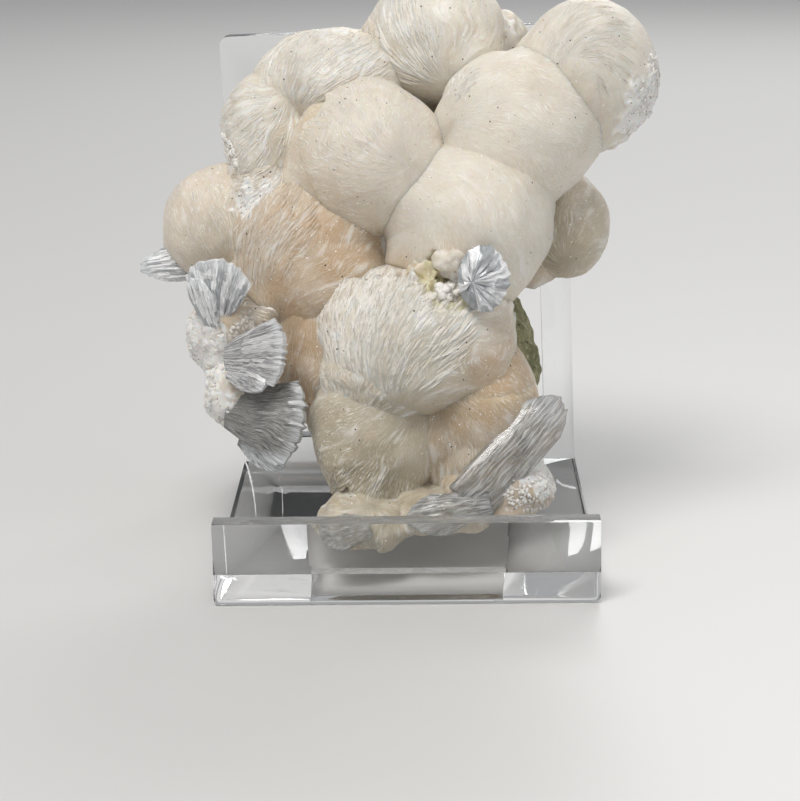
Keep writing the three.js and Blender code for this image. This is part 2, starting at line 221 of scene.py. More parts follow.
# %% Where the balls are, in millimetres
# name: centre, half-sizes, where the fibres meet, swirl, relief of the strands, peach tone, points around, melt
BALLS = {
    "top": ((5.5, 14, 82), (11.5, 11.5, 11), (0.2, -0.8, -0.56), 0.2, 0.24, 0.0, 264, 3),
    "top_right": ((30.2, 8, 76.4), (11.5, 11.5, 12.4), (-0.21, -0.98, 0.06), 1.1, 0.16, 0.05, 252, 3),
    "upper_right": ((18.9, 3, 68.8), (13, 12.5, 12.2), (-0.88, -0.47, 0), 0.5, 0.1, 0.04, 252, 7),
    "middle": ((10.6, -3, 53.5), (13.6, 13, 12.7), (-0.85, -0.45, 0.26), 1.3, 0.11, 0.05, 260, 6),
    "centre": ((-5.2, 0, 64.5), (11.1, 11.6, 11.7), (0.53, -0.85, 0), 0.3, 0.12, 0.12, 252, 7),
    "inner_shell": ((-8.4, 3, 61.6), (11.2, 11, 11.8), (0.53, -0.85, 0), 0.2, 0.1, 0.3, 180, 4),
    "tufted": ((-11.8, 11, 76.4), (12, 11, 8.2), (-0.29, -0.73, -0.62), 0.35, 0.24, 0.05, 260, 5),
    "left": ((-23.2, 8, 67.4), (7.4, 9, 9), (0.52, -0.44, 0.73), 0.15, 0.24, 0.02, 208, 6),
    "lower_left": ((-31.6, 6, 52), (8.8, 9.5, 9.6), (0.49, -0.57, -0.66), 0.2, 0.12, 0.3, 200, 5),
    "broken_mass": ((-15.8, 1, 48.4), (12.6, 11.6, 12.6), (-0.24, -0.62, -0.74), 0.5, 0.2, 0.7, 260, 6),
    "broken_mass_foot": ((-13.5, -1, 33), (8.6, 8.6, 13), (-0.2, -0.5, 0.84), 0.3, 0.12, 1.0, 200, 7),
    "feathery": ((2.3, -8.5, 37.8), (15.3, 11.8, 11.6), (-0.16, -0.62, -0.77), 0.3, 0.34, 0.0, 320, 10),
    "bottom_left": ((-6, -9.5, 18.9), (9.8, 9.5, 11.2), (0.51, -0.46, 0.73), 0.15, 0.15, 0.12, 240, 10),
    "bottom_right": ((10.8, -6.5, 20.8), (9.8, 10, 11.8), (-0.55, -0.56, 0.63), 0.25, 0.18, 0.6, 240, 9),
    "right_small": ((27.4, 8.5, 51), (6.6, 7, 8.8), (-0.03, -0.83, -0.56), 0.4, 0.16, 0.15, 168, 3),
    "right_behind": ((21, 11, 45.4), (5, 5, 5.4), (0, -0.4, 0.9), 0.2, 0.15, 0.3, 100, 3),
    "top_behind": ((16.6, 20, 81.5), (4.2, 4.2, 4.2), (0, -0.4, 0.9), 0.2, 0.15, 0.0, 100, 2),
    "left_joint": ((-22.5, 5, 58.5), (6, 7, 6), (0.3, -0.5, 0.7), 0.2, 0.3, 0.2, 132, 5),
    "middle_joint": ((-3, 5, 50), (7.4, 7.4, 8), (0, -0.4, 0.9), 0.2, 0.2, 0.6, 120, 8),
    "back_upper": ((-2, 20, 71), (15, 10.6, 11), (0, 1, 0.2), 0.3, 0.3, 0.2, 200, 4),
    "back_middle": ((4, 17, 55), (19, 10, 13), (0, 1, -0.2), 0.4, 0.3, 0.4, 220, 4),
    "foot_left": ((-7.2, -17.2, 6.8), (7.4, 7.8, 4.6), (0.1, -0.4, 0.9), 0.2, 0.2, 0.1, 200, 5),
    "foot_centre": ((3.6, -13.0, 7.2), (10, 7.6, 4.8), (0, -0.4, 0.9), 0.2, 0.2, 0.2, 200, 5),
    "foot_right": ((14.4, -12, 10.8), (9, 7.6, 6), (0.1, -0.4, 0.9), 0.2, 0.2, 0.7, 200, 8),
    "pocket_lobe": ((7.2, -14.2, 50), (1.9, 2.2, 1.9), (0, -0.8, 0.6), 0.2, 0.1, 0.0, 64, 1.5),
    "pocket_rim": ((4.2, -13.6, 46.4), (2.4, 2.4, 3.4), (0, -0.8, 0.6), 0.2, 0.1, 0.0, 72, 4),
    "bridge": ((-2.6, -8.6, 30), (10, 8.2, 5), (-0.16, -0.62, -0.77), 0.3, 0.24, 0.1, 180, 12),
    "flow": ((12, -6.2, 27.2), (7.5, 8.8, 6.8), (-0.45, -0.62, 0.64), 0.25, 0.16, 0.6, 180, 7),
    "column_top": ((-31, -2, 36), (4.8, 6, 6.8), (-0.4, -0.8, 0.2), 0.2, 0.15, 0.1, 132, 4),
    "column_neck": ((-25.5, -1, 39), (6.6, 7, 8), (-0.4, -0.8, 0.2), 0.2, 0.25, 0.5, 152, 6),
    "column_foot": ((-26.6, -6, 26.4), (6.6, 6, 6.2), (-0.4, -0.8, 0.2), 0.2, 0.15, 0.15, 140, 4),
}
# Balls that end in a ragged edge: how far from the fibres' meeting point, in degrees, and how far it steps back
RAGGED = {
    "feathery": (106, 0.14),
    "centre": (97, 0.08),
    "bottom_left": (101, 0.1),
    "left": (108, 0.08),
    "tufted": (114, 0.06),
    "broken_mass_foot": (120, 0.05),
    "foot_left": (92, 0.16),
    "foot_centre": (88, 0.14),
    "foot_right": (96, 0.16),
    "column_foot": (84, 0.1),
}
# Balls with coarse lumps, in millimetres
LUMPY = {
    "foot_left": 1.0, "foot_centre": 1.1, "foot_right": 0.9,
    "column_top": 0.7, "column_neck": 0.9, "column_foot": 0.9,
}
USUAL_LUMPS = 0.42
# Where the peach tone is stronger and the skin smoother: centre, radius, amount
BLUSHES = [
    ((15, -14, 31.5), 12, 0.75), ((6, -15, 24.5), 8, 0.5), ((1.5, -10, 47.6), 7, 0.55), ((-12, -10, 55), 12, 0.35),
    ((-14, -9, 42), 12, 0.35), ((22, -8, 17), 8, 0.4),
]
# Painted shade, darker and greyer, on the lower balls and those tucked under others: centre, radius, amount
PAINTED_SHADES = [
    ((-7, -16, 17), 18, 1.0), ((28, 3, 50), 11, 0.8), ((3, -18, 34), 13, 0.4), ((-32, -2, 49), 10, 0.25),
    ((8, -15, 16), 9, 0.4), ((-2, -20, 5), 20, 1.0),
]
# Granular spots: centre, radius, and 1 for white crust or -1 for the yellowish pocket
SPOTS = [
    ((40.5, 2, 71), 8.5, 1), ((37, 4, 64), 5, 1), ((22, -14, 15.4), 6.6, 1), ((-33, -7, 33), 8.5, 1),
    ((-30, -10, 24), 6, 1), ((-31.5, 2, 63.6), 3, 1), ((6.4, -15.6, 46.6), 6.2, -1), ((16.6, 16, 82), 4, 1),
    ((-24.5, -1.5, 57.5), 4.4, 1), ((-30.5, 12, 74), 4, 1),
]
# Holes in the pocket: centre, radius, depth
HOLES = [
    ((6.3, -16, 47.4), 1.7, 2.6), ((4.6, -16, 45.8), 1.1, 1.5),
    ((8.4, -16.5, 44.4), 1.0, 1.4), ((5.2, -16, 48.6), 0.8, 1.0),
]
# How far the strands of some balls wander
WANDER = {"feathery": 2.1, "tufted": 1.8, "left": 1.6, "bridge": 2.2, "top": 1.3}
# Width, length and share in the relief of the coarse, middle and fine strands
STRANDS = ((1.3, 4.2, 0.8), (0.75, 3.0, 0.42), (0.45, 1.8, 0.2))
FIBRE_WIDTH, FIBRE_LENGTH = 0.2, 1.25
# The base and the back plate begin just beyond these
LOWEST, FURTHEST_BACK = 4.3, 30.7
CREASE_SHADE_REACH = 1.3


# %% Measuring around the balls, in millimetres
def ball_form(name):
    """A ball's centre, its half-sizes, and the turn that takes straight up to where its fibres meet."""
    at, half = (np.array(BALLS[name][i], float) for i in range(2))
    return at, half, np.array(Vector(BALLS[name][2]).to_track_quat("Z", "Y").to_matrix())


def lengths(vectors):
    return np.linalg.norm(vectors, axis=1)


def outside(points, other):
    """How far each point is outside another ball."""
    at, half, _ = ball_form(other)
    return (lengths((points - at) / half) - 1) * half.mean()


def nearness(points, centre, radius):
    """1 at the centre of a spot, 0 at its radius and less outside."""
    return 1 - lengths(points - np.array(centre)) / radius


def granular(points):
    """How crusty each point is: towards 1 is white crust, towards -1 is the yellowish pocket."""
    amount = np.zeros(len(points))
    edge = 0.25 * unevenness(points / 1.6, 31) + 0.15 * unevenness(points / 0.7, 32)
    for centre, radius, kind in SPOTS:
        near = nearness(points, centre, radius)
        amount += kind * smooth_rise(near + edge * (near > -0.4), 0.12, 0.42)
    return np.clip(amount, -1, 1)


def fading(points, spots):
    """The amount at each point of the strongest of some soft-edged spots."""
    amount = np.zeros(len(points))
    edge = 0.22 * unevenness(points / 3.1, 36)
    for centre, radius, strength in spots:
        near = nearness(points, centre, radius)
        amount = np.maximum(amount, strength * smooth_rise(near + edge, 0, 0.7))
    return amount


# %% The skin of one ball at any angles around and away from its pole
def combed_angle(name, around, slant, ways, number):
    """The angle of the strand that runs through each point, with its swirl and its wandering."""
    swirl = BALLS[name][3]
    sweep = swirl * np.log(np.tan(np.clip(slant, 0.25, 2.9) / 2))
    wander = 0.2 * unevenness(ways * 1.7 + number, 11) + 0.07 * unevenness(ways * 4.1, 12)
    return around + sweep + WANDER.get(name, 1) * wander


def ball_skin(name, around, slant):
    """Surface points, strand coordinates, colour tone with painted crease shade, and the height with painted shade.
    """
    number = list(BALLS).index(name)
    relief, peach, _, melt = BALLS[name][4:]
    at, half, turn = ball_form(name)
    own = np.stack([np.sin(slant) * np.cos(around), np.sin(slant) * np.sin(around), np.cos(slant)], axis=1)
    ways = own @ turn.T
    size = half.mean()
    combed = combed_angle(name, around, slant, ways, number)

    def strands(width, length, seed):
        return np.stack([
            size / width * np.cos(combed), size / width * np.sin(combed),
            size / length * slant + 7.3 * number + seed,
        ], axis=1)

    fade = smooth_rise(np.sin(slant), 0.05, 0.5)
    coarse, middle, fine = STRANDS
    strand_height = coarse[2] * (np.abs(unevenness(strands(*coarse[:2], 0), 21)) - 0.3)
    strand_height = strand_height + middle[2] * unevenness(strands(*middle[:2], 3), 22)
    strand_height = strand_height + fine[2] * unevenness(strands(*fine[:2], 4), 27)
    broad = unevenness(ways * 1.9 + 3.1 * number, 23) + 0.5 * unevenness(ways * 3.7 + 3.1 * number, 28)
    patch = 0.6 + 0.5 * unevenness(ways * 2.6 + 5.7 * number, 24)
    bare = at + ways * half
    blush = fading(bare, BLUSHES)
    combed_height = fade * strand_height * patch * (1 - 0.8 * np.clip(blush, 0, 1))
    out = relief * combed_height + LUMPY.get(name, USUAL_LUMPS) * broad
    if name in RAGGED:
        edge, step = RAGGED[name]
        ragged = 0.16 * unevenness(strands(1.9, 30, 5), 25) + 0.08 * unevenness(strands(0.9, 30, 6), 26)
        out -= step * size * smooth_rise(slant, math.radians(edge) + ragged, math.radians(edge + 6) + ragged)
    # Near another ball the skin gets painted shade: the crease value makes it tan in the creases between the balls.
    crease_shade = np.zeros(len(bare))
    filled = np.zeros(len(bare))
    for other, row in BALLS.items():
        if other != name:
            gap = outside(bare, other)
            reach = (melt + row[7]) / 2
            crease_shade = np.maximum(crease_shade, np.exp(-np.clip(gap, 0, None) / CREASE_SHADE_REACH))
            filled = np.maximum(filled, np.clip(reach - np.abs(gap), 0, None) ** 2 / (4 * reach))
    crust = granular(bare)
    rough = np.abs(unevenness(bare / 1.3, 33)) + 0.5 * np.abs(unevenness(bare / 0.6, 34))
    tiny = 0.05 * unevenness(bare / 0.5, 35)
    if name == "pocket_lobe":
        crust = np.full(len(bare), 0.45)
    pocket = np.clip(-crust, 0, 1)
    filled = np.maximum(filled * (1 - 0.75 * pocket), 0)
    hollow = pocket * (0.7 + 0.5 * unevenness(bare / 1.3, 37))
    for centre, radius, depth in HOLES:
        hollow = hollow + depth * smooth_rise(nearness(bare, centre, radius), 0, 0.6)
    out = out * (1 - 0.6 * np.abs(crust)) + filled + tiny + 0.55 * np.abs(crust) * rough - hollow
    points = bare + ways * out[:, None]
    points[:, 2] = np.maximum(points[:, 2], LOWEST)
    points[:, 1] = np.minimum(points[:, 1], FURTHEST_BACK)
    tone = np.stack([peach + blush, crease_shade, crust], axis=1)
    # How far the strands stand out; the material paints highlight on the raised strands and shade in the grooves.
    proud = np.clip(2.2 * combed_height, -1, 1) * min(relief / 0.25, 1)
    # The third value of lift is painted shade, darker and greyer on the lower balls.
    lift = np.stack([proud, np.clip(hollow, 0, 3), fading(bare, PAINTED_SHADES)], axis=1)
    return points, strands(FIBRE_WIDTH, FIBRE_LENGTH, 1), tone, lift


# %% One ball
def fibre_ball(name):
    count = BALLS[name][6]
    bpy.ops.mesh.primitive_uv_sphere_add(segments=count // 4, ring_count=int(count * 0.115), radius=1)
    ball = bpy.context.object
    edit_all()
    bpy.ops.mesh.subdivide(number_cuts=3)
    bpy.ops.object.mode_set(mode="OBJECT")
    own = points_of(ball.data)
    own /= lengths(own)[:, None]
    around = np.arctan2(own[:, 1], own[:, 0])
    slant = np.arccos(np.clip(own[:, 2], -1, 1))
    points, fibre, tone, lift = ball_skin(name, around, slant)
    move_points(ball.data, points * MM)
    for value_name, values in (("fibre", fibre), ("tone", tone), ("lift", lift)):
        keep_on_corners(ball.data, value_name, values)
    bpy.ops.object.shade_smooth()
    ball.name = name
    return ball


# %% Balls that grew into each other become one closed skin
def grown_together(pieces):
    whole = pieces[0]
    for other in pieces[1:]:
        change(whole, "BOOLEAN", operation="UNION", solver="MANIFOLD", object=other)
        bpy.data.objects.remove(other)
    return whole


GROUPS = {
    "gyrolite_top": ["top", "top_right", "top_behind"],
    "gyrolite_upper_right": ["upper_right", "middle", "right_small", "right_behind", "pocket_lobe"],
    "gyrolite_upper_left": ["tufted", "left", "centre", "inner_shell"],
    "gyrolite_broken_mass": ["broken_mass", "lower_left", "left_joint", "middle_joint", "broken_mass_foot"],
    "gyrolite_feathery": ["feathery", "pocket_rim", "bridge", "flow"],
    "gyrolite_bottom": ["bottom_left", "bottom_right", "foot_left", "foot_centre", "foot_right"],
    "gyrolite_column": ["column_top", "column_neck", "column_foot"],
    "gyrolite_back": ["back_upper", "back_middle"],
}
gyrolite_pieces = {}
for group, members in GROUPS.items():
    gyrolite_pieces[group] = grown_together([fibre_ball(name) for name in members])
    print(group, "joined from", len(members))

# %% [markdown]
# ## Loose fibre ends
# Where the balls are torn, single bundles stand a little off the surface and make ragged edges. One bundle is a
# four-sided rod that is cut across twice, and its copies are laid along the strands.


# %% One bundle, modelled once
def one_bundle():
    bpy.ops.object.select_all(action="DESELECT")
    bpy.ops.mesh.primitive_cylinder_add(vertices=4, radius=0.5, depth=1, location=(0, 0, 0.5))
    rod = bpy.context.object
    bpy.ops.object.transform_apply(location=True)
    bpy.ops.object.mode_set(mode="EDIT")
    for height in (0.3, 0.65):
        bpy.ops.mesh.select_all(action="SELECT")
        bpy.ops.mesh.bisect(plane_co=(0, 0, height), plane_no=(0, 0, 1))
    bpy.ops.mesh.select_all(action="SELECT")
    bpy.ops.mesh.quads_convert_to_tris()
    bpy.ops.object.mode_set(mode="OBJECT")
    points = points_of(rod.data)
    faces = np.array([face.vertices[:] for face in rod.data.polygons])
    bpy.data.objects.remove(rod)
    return points, faces


BUNDLE_POINTS, BUNDLE_FACES = one_bundle()
print("one bundle:", len(BUNDLE_FACES), "triangles")

# ball, direction of the patch from its centre, radius in degrees, count, length, width, lift, whiteness
BUNDLES = [
    ("feathery", (-0.35, -0.85, 0.3), 58, 560, 2.6, 0.5, 0.05, 0.45),
    ("feathery", (-0.75, -0.45, 0.5), 40, 420, 1.5, 0.32, 0.3, 0.6),
    ("feathery", (-0.1, -0.5, 0.85), 36, 280, 1.4, 0.3, 0.3, 0.6),
    ("bridge", (-0.2, -0.95, 0.1), 60, 160, 2.0, 0.4, 0.04, 0.3),
    ("top", (-0.6, -0.7, 0.1), 42, 150, 3.8, 0.46, 0.06, 0.3),
    ("top_right", (-0.1, -0.85, 0.5), 42, 130, 2.4, 0.36, 0.06, 0.3),
    ("centre", (-0.5, -0.5, 0.7), 50, 160, 1.0, 0.24, 0.12, 0.6),
    ("upper_right", (-0.72, -0.3, 0.62), 16, 120, 0.9, 0.26, 0.25, 1.0),
    ("tufted", (-0.2, -0.85, 0.3), 60, 260, 2.8, 0.42, 0.08, 0.35),
    ("left", (-0.4, -0.9, 0.1), 62, 130, 2.8, 0.42, 0.08, 0.3),
    ("broken_mass", (-0.6, -0.6, 0.5), 46, 200, 2.8, 0.42, 0.16, 0.3),
    ("left_joint", (-0.2, -0.95, 0.2), 75, 320, 1.2, 0.24, 0.18, 0.4),
    ("lower_left", (0.3, -0.9, 0.2), 50, 60, 2.4, 0.3, 0.06, 0.1),
    ("bottom_left", (-0.1, -0.7, -0.7), 40, 240, 1.6, 0.34, 0.2, 0.2),
    ("bottom_right", (0.1, -0.85, -0.3), 50, 90, 2.6, 0.34, 0.06, 0.1),
    ("column_neck", (0.2, -0.95, 0.1), 60, 120, 2.4, 0.34, 0.3, 0.5),
]


def places_on(name, facing, radius, count, seed):
    """Angles of places inside a patch of a ball that no other ball covers, with chance numbers for each place."""
    at, half, turn = ball_form(name)
    facing = np.array(facing) / np.linalg.norm(facing)
    ticket = np.arange(4 * count)
    chance = np.stack([lattice(np.stack([ticket, ticket * 0 + seed, ticket * 0 + k], 1), 81) for k in range(8)], 1)
    high = 1 - (1 - math.cos(math.radians(radius))) * chance[:, 0]
    spin = 2 * math.pi * chance[:, 1]
    side = np.cross(facing, (0.0, 0.0, 1.0))
    side /= np.linalg.norm(side)
    ring = np.cos(spin)[:, None] * side + np.sin(spin)[:, None] * np.cross(side, facing)
    ways = high[:, None] * facing + np.sqrt(1 - high ** 2)[:, None] * ring
    own = ways @ turn
    around, slant = np.arctan2(own[:, 1], own[:, 0]), np.arccos(np.clip(own[:, 2], -1, 1))
    clear = np.full(len(ways), 1e3)
    for other in BALLS:
        if other != name:
            clear = np.minimum(clear, outside(at + ways * half, other))
    chosen = np.flatnonzero((clear > 0.4) & (slant > 0.3) & (slant < 2.7))[:count]
    return around[chosen], slant[chosen], chance[chosen]


def loose_bundles(rows):
    """Points, faces and kept values of bundles laid along the strands of the balls, one patch for each row."""
    points, faces, fibres, tones, lifts = [], [], [], [], []
    for number, (name, facing, radius, count, length, width, lift, white) in enumerate(rows):
        at, half, _ = ball_form(name)
        size = half.mean()
        around, slant, chance = places_on(name, facing, radius, count, number)
        reach = length * (0.6 + 0.8 * chance[:, 2]) / size
        along = BUNDLE_POINTS[:, 2]
        slants = slant[:, None] + (along[None, :] - 0.5) * reach[:, None]
        sweep = BALLS[name][3]
        turned = around[:, None] - sweep * (np.log(np.tan(slants / 2)) - np.log(np.tan(slant / 2))[:, None])
        shape = np.interp(along, (0, 0.3, 0.65, 1), (0.25, 1, 0.8, 0.12))
        wide = width * (0.6 + 0.8 * chance[:, 3]) / size
        turned = turned + BUNDLE_POINTS[None, :, 0] * shape * wide[:, None] / np.sin(slants)
        skin, fibre, tone, proud = ball_skin(name, turned.ravel(), slants.ravel())
        outward = (skin - at) / half
        outward /= lengths(outward)[:, None]
        rise_up = lift * (0.3 + chance[:, 4:5]) * along[None, :] ** 1.5
        thick = BUNDLE_POINTS[None, :, 1] * shape * width * 0.55
        skin = skin + outward * (rise_up + thick - 0.03).ravel()[:, None]
        base = sum(len(p) for p in points)
        each = len(BUNDLE_POINTS)
        points.append(skin)
        fibres.append(fibre)
        tone[:, 2] = np.maximum(tone[:, 2], np.repeat(white * (0.3 + chance[:, 5]), len(along)))
        tones.append(tone)
        lifts.append(proud)
        steps = base + each * np.arange(len(around))
        faces.append((BUNDLE_FACES[None] + steps[:, None, None]).reshape(-1, 3))
    return [np.concatenate(part) for part in (points, faces, fibres, tones, lifts)]


def mesh_piece(name, points, faces, **kept):
    """A new object from points in millimetres, its faces, and the values kept on its corners."""
    mesh = bpy.data.meshes.new(name)
    mesh.from_pydata((points * MM).tolist(), [], faces.tolist())
    for value_name, values in kept.items():
        keep_on_corners(mesh, value_name, values)
    piece = bpy.data.objects.new(name, mesh)
    bpy.context.scene.collection.objects.link(piece)
    bpy.ops.object.select_all(action="DESELECT")
    piece.select_set(True)
    bpy.context.view_layer.objects.active = piece
    turn_faces_outward()
    return piece


points, faces, fibre, tone, lift = loose_bundles(BUNDLES)
gyrolite_pieces["loose_fibres"] = mesh_piece("loose_fibres", points, faces, fibre=fibre, tone=tone, lift=lift)

# %% [markdown]
# ## The gyrolite's finish
# Gyrolite is silky: fine fibres catch the light, and light enters the surface a little way, which warms the joints.
# Colour and fine bump read the "fibre" value kept on the mesh, so they follow the strands. Thin wisps are whiter,
# partly in their own colour and partly as painted highlight, raised strands get painted highlight and the grooves
# painted shade. The creases between balls, the lower balls and the deep holes get painted shade as well. Sparse cells
# give the dark specks and small white painted glints.


# %% Small helpers for node graphs
def add_node(tree, kind, **settings):
    made = tree.nodes.new(kind)
    for name, value in settings.items():
        setattr(made, name, value)
    return made


def feed(tree, socket, value):
    """Puts a number, colour or another node's output into a socket."""
    if isinstance(value, bpy.types.NodeSocket):
        tree.links.new(value, socket)
    else:
        socket.default_value = value


def blend_colours(tree, share, first, second):
    mixer = add_node(tree, "ShaderNodeMix", data_type="RGBA")
    colours = [s for s in mixer.inputs if s.type == "RGBA"]
    feed(tree, mixer.inputs[0], share)
    feed(tree, colours[0], first)
    feed(tree, colours[1], second)
    return next(s for s in mixer.outputs if s.type == "RGBA")


def layers(tree, colour, *rows):
    """Paints colours over the first one, each with its own share."""
    for share, paint in rows:
        colour = blend_colours(tree, share, colour, paint)
    return colour


def sums(tree, operation, first, second=0.0, clamp=False):
    made = add_node(tree, "ShaderNodeMath", operation=operation, use_clamp=clamp)
    feed(tree, made.inputs[0], first)
    feed(tree, made.inputs[1], second)
    return made.outputs[0]


def times(tree, first, second, clamp=False):
    return sums(tree, "MULTIPLY", first, second, clamp)


def rise(tree, value, low, high, start=0.0, end=1.0):
    made = add_node(tree, "ShaderNodeMapRange", interpolation_type="SMOOTHSTEP")
    for socket, amount in zip(made.inputs, (value, low, high, start, end)):
        feed(tree, socket, amount)
    return made.outputs[0]


def kept_value(tree, name):
    return add_node(tree, "ShaderNodeAttribute", attribute_name=name).outputs["Vector"]


def parts_of(tree, vector):
    split = add_node(tree, "ShaderNodeSeparateXYZ")
    tree.links.new(vector, split.inputs[0])
    return split.outputs


def joined_parts(tree, first, second):
    """A vector from two numbers."""
    made = add_node(tree, "ShaderNodeCombineXYZ")
    feed(tree, made.inputs[0], first)
    feed(tree, made.inputs[1], second)
    return made.outputs[0]


def place_of(tree):
    return add_node(tree, "ShaderNodeTexCoord").outputs["Object"]


def settle(tree, shader, **sockets):
    """Feeds the shader's sockets. A space in a socket's name is written as _ here."""
    for name, value in sockets.items():
        feed(tree, shader.inputs[name.replace("_", " ")], value)


def add_bumps(tree, shader, height, distance, strength=1.0):
    """Raises the shader's surface by a height whose full step is a distance in millimetres."""
    bump = add_node(tree, "ShaderNodeBump")
    settle(tree, bump, Strength=strength, Distance=distance * MM, Height=height)
    settle(tree, shader, Normal=bump.outputs[0])


def noise(tree, where, scale, detail=2.0, roughness=0.5):
    made = add_node(tree, "ShaderNodeTexNoise")
    settle(tree, made, Vector=where, Scale=scale, Detail=detail, Roughness=roughness)
    return made.outputs["Fac"]


def dots(tree, where, spacing, size, shift):
    """1 inside small scattered dots, 0 elsewhere. Spacing and size are in millimetres."""
    spacing, size = spacing * MM, size * MM
    moved = add_node(tree, "ShaderNodeMapping")
    settle(tree, moved, Vector=where, Location=shift)
    cells = add_node(tree, "ShaderNodeTexVoronoi")
    settle(tree, cells, Vector=moved.outputs[0], Scale=1 / spacing)
    return rise(tree, cells.outputs["Distance"], size / spacing * 0.7, size / spacing, 1.0, 0.0)


# %% Silky gyrolite
CREAM = (0.79, 0.745, 0.66, 1)
PEACH = (0.55, 0.38, 0.23, 1)
CREASE_SHADE_TAN = (0.62, 0.49, 0.31, 1)
FIBRE_WHITE_AND_HIGHLIGHT = (0.93, 0.91, 0.87, 1)
GROOVE_PAINTED_SHADE = (0.66, 0.58, 0.45, 1)
LOWER_SHADE_GREY = (0.43, 0.365, 0.245, 1)
DASH_BROWN = (0.36, 0.27, 0.18, 1)
SPECK_BROWN = (0.06, 0.05, 0.04, 1)
CRUST_WHITE = (0.93, 0.91, 0.88, 1)
POCKET_YELLOW = (0.66, 0.6, 0.36, 1)
HOLE_SHADE_OLIVE = (0.2, 0.16, 0.06, 1)


def gyrolite_material(name, soft):
    """Reads the strands, the tone and the height that were kept on the mesh."""
    material, tree, shader = bare_material(name)
    fibre, place = kept_value(tree, "fibre"), place_of(tree)
    peach, crease_shade, crust = parts_of(tree, kept_value(tree, "tone"))
    proud, hollow, painted_shade = parts_of(tree, kept_value(tree, "lift"))
    wisps = noise(tree, fibre, 1.0, 1.5)
    hairs = noise(tree, fibre, 2.1, 3.0, 0.6)
    clouds = noise(tree, place, 150, 3.0)
    where_white = rise(tree, noise(tree, place, 420, 2.0), 0.4, 0.62)
    small_specks = times(tree, dots(tree, place, 1.5, 0.1, (0.5, 0.2, 0.4)), 0.8)
    specks = sums(tree, "MAXIMUM", dots(tree, place, 2.5, 0.17, (0, 0, 0)), small_specks)
    in_crust = rise(tree, crust, 0.4, 0.8, 0.0, 0.8)
    pits = times(tree, dots(tree, place, 1.3, 0.17, (0.7, 0.3, 0.2)), in_crust)
    # White dots painted as small glints
    painted_glints = dots(tree, place, 1.7, 0.15, (0.3, 0.1, 0.7))
    colour = layers(
        tree, CREAM,
        (times(tree, peach, rise(tree, clouds, 0.25, 0.75, 0.55, 1.25), clamp=True), PEACH),
        (rise(tree, clouds, 0.52, 0.25, 0.0, 0.3), PEACH),
        # Painted shade, tan, in the creases between the balls
        (times(tree, crease_shade, 0.5), CREASE_SHADE_TAN),
        # Painted shade, darker and greyer, on the lower and tucked-in balls
        (times(tree, painted_shade, 0.85), LOWER_SHADE_GREY),
        # Painted highlight on the raised strands and painted shade between them
        (rise(tree, proud, 0.05, 0.6, 0.0, 0.55), FIBRE_WHITE_AND_HIGHLIGHT),
        (rise(tree, proud, 0.0, -0.5, 0.0, 0.35), GROOVE_PAINTED_SHADE),
        # Whiter wisps, partly their own colour and partly painted highlight; painted shade in the fine grooves and
        # painted highlight on the fine hairs
        (times(tree, rise(tree, wisps, 0.5, 0.7, 0.0, 0.7), where_white), FIBRE_WHITE_AND_HIGHLIGHT),
        (rise(tree, hairs, 0.52, 0.3, 0.0, 0.42), GROOVE_PAINTED_SHADE),
        (rise(tree, hairs, 0.55, 0.7, 0.0, 0.8), FIBRE_WHITE_AND_HIGHLIGHT),
        (rise(tree, noise(tree, fibre, 1.35, 1.0), 0.73, 0.8, 0.0, 0.65), DASH_BROWN),
        (rise(tree, crust, 0.1, 1.0, 0.0, 0.85), CRUST_WHITE),
        (rise(tree, crust, -0.1, -1.0, 0.0, 0.75), POCKET_YELLOW),
        # Painted shade, dark olive, in the deep holes of the pocket
        (rise(tree, hollow, 1.2, 2.6, 0.0, 0.9), HOLE_SHADE_OLIVE),
        (sums(tree, "MAXIMUM", specks, pits), SPECK_BROWN),
        # Painted glints, white
        (painted_glints, (1, 1, 1, 1)),
    )
    gleam = times(tree, painted_glints, 0.25)
    roughness = sums(tree, "SUBTRACT", rise(tree, wisps, 0.35, 0.7, 0.54, 0.34), gleam)
    settle(tree, shader, Base_Color=colour, Roughness=roughness, Sheen_Weight=0.12, Sheen_Roughness=0.4)
    if soft:
        settle(tree, shader, Subsurface_Weight=0.65, Subsurface_Radius=(1.0, 0.72, 0.48), Subsurface_Scale=1.7 * MM)
    add_bumps(tree, shader, sums(tree, "ADD", wisps, times(tree, hairs, 0.6)), 0.1)
    return material


silky_gyrolite = gyrolite_material("silky_gyrolite", True)
loose_gyrolite = gyrolite_material("loose_gyrolite", False)
for group, piece in gyrolite_pieces.items():
    paint = loose_gyrolite if group == "loose_fibres" else silky_gyrolite
    finish_piece(piece, group, paint, "gyrolite", "gyrolite_cluster")

# %% [markdown]
# ## White crust and the druse
# Small flat knobs of white crust sit along some edges, and rounder ones stand in the yellowish pocket. One knob is
# made from a round primitive, and copies of it, each with its own bumps, are set into the skin.

# %% Crust patches
# ball, facing, radius in degrees, how many knobs, their size in millimetres, whiteness, height against width
CRUSTS = {
    "right_edge": [("top_right", (0.95, -0.2, -0.35), 38, 240, 0.42, 0.8, 0.4)],
    "right_foot": [("foot_right", (0.75, -0.6, 0.4), 42, 330, 0.3, 0.9, 0.35)],
    "left_column": [
        ("column_top", (-0.35, -0.9, 0.2), 70, 260, 0.36, 0.8, 0.3),
        ("column_foot", (-0.3, -0.9, 0.1), 60, 190, 0.36, 0.7, 0.3),
        ("column_neck", (-0.6, -0.7, -0.2), 50, 120, 0.36, 0.6, 0.3),
    ],
    "left_shoulder": [("left", (-0.8, -0.5, -0.45), 26, 70, 0.55, 0.9, 0.5)],
    "druse_pocket": [
        ("middle", (-0.22, -0.84, -0.6), 7, 8, 0.7, 0.55, 0.9),
        ("feathery", (0.32, -0.62, 0.74), 10, 30, 0.85, 0.85, 0.85),
    ],
}


